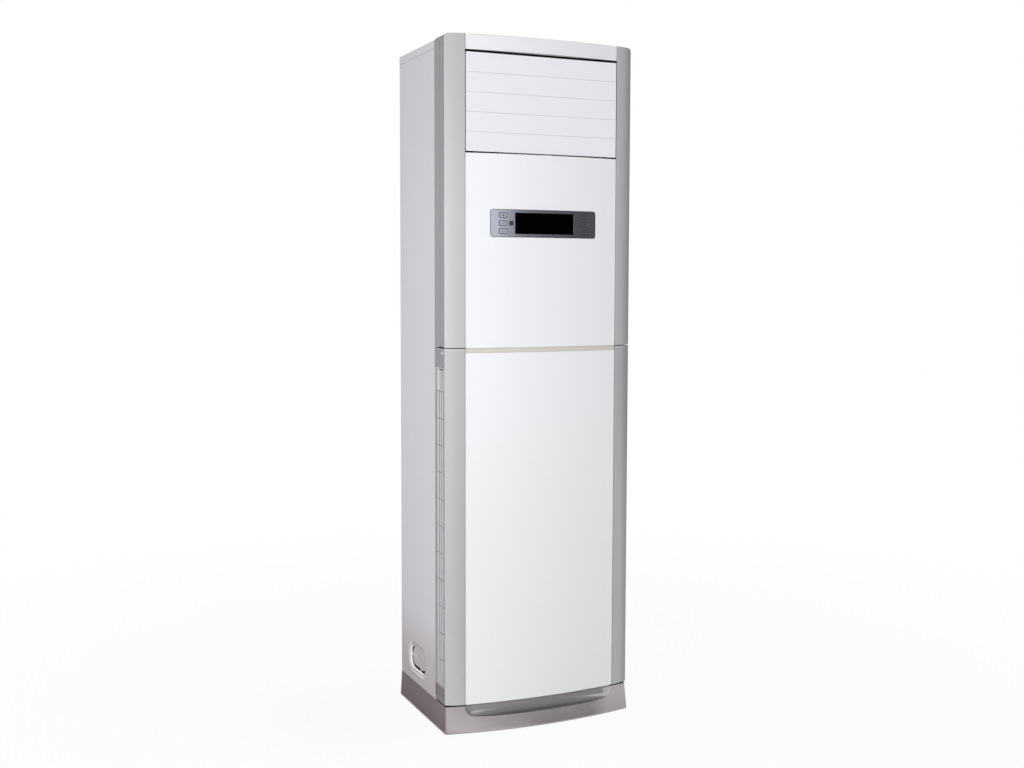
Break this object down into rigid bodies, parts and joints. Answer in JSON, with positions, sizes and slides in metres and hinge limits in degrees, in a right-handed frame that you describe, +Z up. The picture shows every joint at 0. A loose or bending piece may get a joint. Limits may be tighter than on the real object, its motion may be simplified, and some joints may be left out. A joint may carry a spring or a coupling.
{
  "type": "floor standing air conditioner",
  "caption": "Tall bowed indoor air conditioner cabinet with a shut louvred outlet over a control panel, side intake grilles and a scooped grey plinth.",
  "frame": {"origin": "on the floor under the middle of the cabinet's overall box", "axes": "+Z up, -Y out of the front with the louvres and the control panel, +X to the right of someone facing the front"},
  "size_m": [0.5308, 0.3842, 1.776],
  "materials": {
    "cabinet_metal": "satin pale grey powder coat",
    "inner_metal": "galvanised steel",
    "screw_steel": "bright zinc plating",
    "silver_plastic": "silver lacquered plastic",
    "white_panel": "smooth gloss white",
    "blade_plastic": "satin cool white",
    "trim_plastic": "pale warm grey",
    "plinth_plastic": "smooth mid grey",
    "dark_plastic": "black",
    "bezel_silver": "silver grey lacquer",
    "smoked_window": "glossy black",
    "button_plastic": "light silver grey",
    "board_green": "circuit board",
    "filter_mesh": "fine dark mesh in a rim",
    "coil_fins": "bare fins",
    "copper_pipe": "bare copper",
    "hose_plastic": "ribbed drain hose"
  },
  "bodies": {
    "cabinet": {"plinth": "plinth_plastic", "base_pan": "inner_metal", "left_side_plate": "cabinet_metal", "right_side_plate": "cabinet_metal", "lower_back_plate": "cabinet_metal", "upper_back_plate": "cabinet_metal", "top_cover": "cabinet_metal", "upper_left_column": "silver_plastic", "upper_right_column": "silver_plastic", "lower_left_column": "silver_plastic", "lower_right_column": "silver_plastic", "top_bar": "white_panel", "upper_front_panel": "white_panel", "lower_front_panel": "white_panel", "trim_strip": "trim_plastic", "outlet_frame": "dark_plastic", "louver_motor": "inner_metal", "vane_motor": "inner_metal", "control_bezel": "bezel_silver", "display_window": "smoked_window", "sensor_window": "smoked_window", "display_board": "board_green", "volute": "dark_plastic", "inlet_ring": "dark_plastic", "motor_bracket": "inner_metal", "fan_motor": "inner_metal", "divider_plate": "inner_metal", "evaporator": "coil_fins", "evaporator_tubes": "copper_pipe", "refrigerant_pipes": "copper_pipe", "drain_pan": "dark_plastic", "drain_hose": "hose_plastic", "electric_box": "inner_metal", "wall_bracket": "inner_metal", "casing_screws": "screw_steel"},
    "fan": {"fan_wheel": "dark_plastic", "fan_shaft": "inner_metal"},
    "louver_1": {"louver_1": "blade_plastic"},
    "louver_2": {"louver_2": "blade_plastic"},
    "louver_3": {"louver_3": "blade_plastic"},
    "louver_4": {"louver_4": "blade_plastic"},
    "louver_5": {"louver_5": "blade_plastic"},
    "louver_link": {"louver_link": "dark_plastic"},
    "vane_1": {"vane_1": "dark_plastic"},
    "vane_2": {"vane_2": "dark_plastic"},
    "vane_3": {"vane_3": "dark_plastic"},
    "vane_4": {"vane_4": "dark_plastic"},
    "vane_5": {"vane_5": "dark_plastic"},
    "vane_6": {"vane_6": "dark_plastic"},
    "vane_link": {"vane_link": "dark_plastic"},
    "fan_button": {"fan_button": "button_plastic"},
    "up_button": {"up_button": "button_plastic"},
    "down_button": {"down_button": "button_plastic"},
    "mode_button": {"mode_button": "button_plastic"},
    "power_button": {"power_button": "button_plastic"},
    "timer_button": {"timer_button": "button_plastic"},
    "left_grille": {"left_intake_grille": "silver_plastic", "left_filter": "filter_mesh"},
    "right_grille": {"right_intake_grille": "silver_plastic", "right_filter": "filter_mesh"}
  },
  "joints": [
    {"name": "fan_spin", "type": "hinge", "parent": "cabinet", "child": "fan", "pos_m": [0.02, 0.00015, 0.4], "axis": [0, 1, 0], "continuous": true},
    {"name": "louver_1_pivot", "type": "hinge", "parent": "cabinet", "child": "louver_1", "pos_m": [0, -0.15985, 1.51198], "axis": [-1, 0, 0], "range_deg": [0, 90]},
    {"name": "louver_2_pivot", "type": "hinge", "parent": "cabinet", "child": "louver_2", "pos_m": [0, -0.15985, 1.56094], "axis": [-1, 0, 0], "range_deg": [0, 90]},
    {"name": "louver_3_pivot", "type": "hinge", "parent": "cabinet", "child": "louver_3", "pos_m": [0, -0.15985, 1.6099], "axis": [-1, 0, 0], "range_deg": [0, 90]},
    {"name": "louver_4_pivot", "type": "hinge", "parent": "cabinet", "child": "louver_4", "pos_m": [0, -0.15985, 1.65886], "axis": [-1, 0, 0], "range_deg": [0, 90]},
    {"name": "louver_5_pivot", "type": "hinge", "parent": "cabinet", "child": "louver_5", "pos_m": [0, -0.15985, 1.70782], "axis": [-1, 0, 0], "range_deg": [0, 90]},
    {"name": "louver_link_pivot", "type": "hinge", "parent": "louver_3", "child": "louver_link", "pos_m": [0.2208, -0.14854, 1.62121], "axis": [-1, 0, 0], "range_deg": [-90, 0]},
    {"name": "vane_1_pivot", "type": "hinge", "parent": "cabinet", "child": "vane_1", "pos_m": [-0.17792, -0.10897, 1.61], "axis": [0, 0, 1], "range_deg": [-35, 35]},
    {"name": "vane_2_pivot", "type": "hinge", "parent": "cabinet", "child": "vane_2", "pos_m": [-0.10675, -0.10897, 1.61], "axis": [0, 0, 1], "range_deg": [-35, 35]},
    {"name": "vane_3_pivot", "type": "hinge", "parent": "cabinet", "child": "vane_3", "pos_m": [-0.03558, -0.10897, 1.61], "axis": [0, 0, 1], "range_deg": [-35, 35]},
    {"name": "vane_4_pivot", "type": "hinge", "parent": "cabinet", "child": "vane_4", "pos_m": [0.03558, -0.10897, 1.61], "axis": [0, 0, 1], "range_deg": [-35, 35]},
    {"name": "vane_5_pivot", "type": "hinge", "parent": "cabinet", "child": "vane_5", "pos_m": [0.10675, -0.10897, 1.61], "axis": [0, 0, 1], "range_deg": [-35, 35]},
    {"name": "vane_6_pivot", "type": "hinge", "parent": "cabinet", "child": "vane_6", "pos_m": [0.17792, -0.10897, 1.61], "axis": [0, 0, 1], "range_deg": [-35, 35]},
    {"name": "vane_link_pivot", "type": "hinge", "parent": "vane_3", "child": "vane_link", "pos_m": [-0.03558, -0.09497, 1.4763], "axis": [0, 0, 1], "range_deg": [-35, 35]},
    {"name": "fan_button_press", "type": "slide", "parent": "cabinet", "child": "fan_button", "axis": [0, 1, 0], "range_m": [0, 0.0012], "stiffness_N_per_m": 400, "springref_m": -0.0004},
    {"name": "up_button_press", "type": "slide", "parent": "cabinet", "child": "up_button", "axis": [0, 1, 0], "range_m": [0, 0.0012], "stiffness_N_per_m": 400, "springref_m": -0.0004},
    {"name": "down_button_press", "type": "slide", "parent": "cabinet", "child": "down_button", "axis": [0, 1, 0], "range_m": [0, 0.0012], "stiffness_N_per_m": 400, "springref_m": -0.0004},
    {"name": "mode_button_press", "type": "slide", "parent": "cabinet", "child": "mode_button", "axis": [0, 1, 0], "range_m": [0, 0.0012], "stiffness_N_per_m": 400, "springref_m": -0.0004},
    {"name": "power_button_press", "type": "slide", "parent": "cabinet", "child": "power_button", "axis": [0, 1, 0], "range_m": [0, 0.0012], "stiffness_N_per_m": 400, "springref_m": -0.0004},
    {"name": "timer_button_press", "type": "slide", "parent": "cabinet", "child": "timer_button", "axis": [0, 1, 0], "range_m": [0, 0.0012], "stiffness_N_per_m": 400, "springref_m": -0.0004},
    {"name": "left_grille_tilt", "type": "hinge", "parent": "cabinet", "child": "left_grille", "pos_m": [-0.2614, -0.1197, 0.084], "axis": [0, -1, 0], "range_deg": [0, 15]},
    {"name": "right_grille_tilt", "type": "hinge", "parent": "cabinet", "child": "right_grille", "pos_m": [0.2614, -0.1197, 0.084], "axis": [0, 1, 0], "range_deg": [0, 15]}
  ],
  "couplings": [
    {"joint": "louver_1_pivot", "follows": "louver_3_pivot", "ratio": 1},
    {"joint": "louver_2_pivot", "follows": "louver_3_pivot", "ratio": 1},
    {"joint": "louver_4_pivot", "follows": "louver_3_pivot", "ratio": 1},
    {"joint": "louver_5_pivot", "follows": "louver_3_pivot", "ratio": 1},
    {"joint": "louver_link_pivot", "follows": "louver_3_pivot", "ratio": -1},
    {"joint": "vane_1_pivot", "follows": "vane_3_pivot", "ratio": 1},
    {"joint": "vane_2_pivot", "follows": "vane_3_pivot", "ratio": 1},
    {"joint": "vane_4_pivot", "follows": "vane_3_pivot", "ratio": 1},
    {"joint": "vane_5_pivot", "follows": "vane_3_pivot", "ratio": 1},
    {"joint": "vane_6_pivot", "follows": "vane_3_pivot", "ratio": 1},
    {"joint": "vane_link_pivot", "follows": "vane_3_pivot", "ratio": -1}
  ]
}
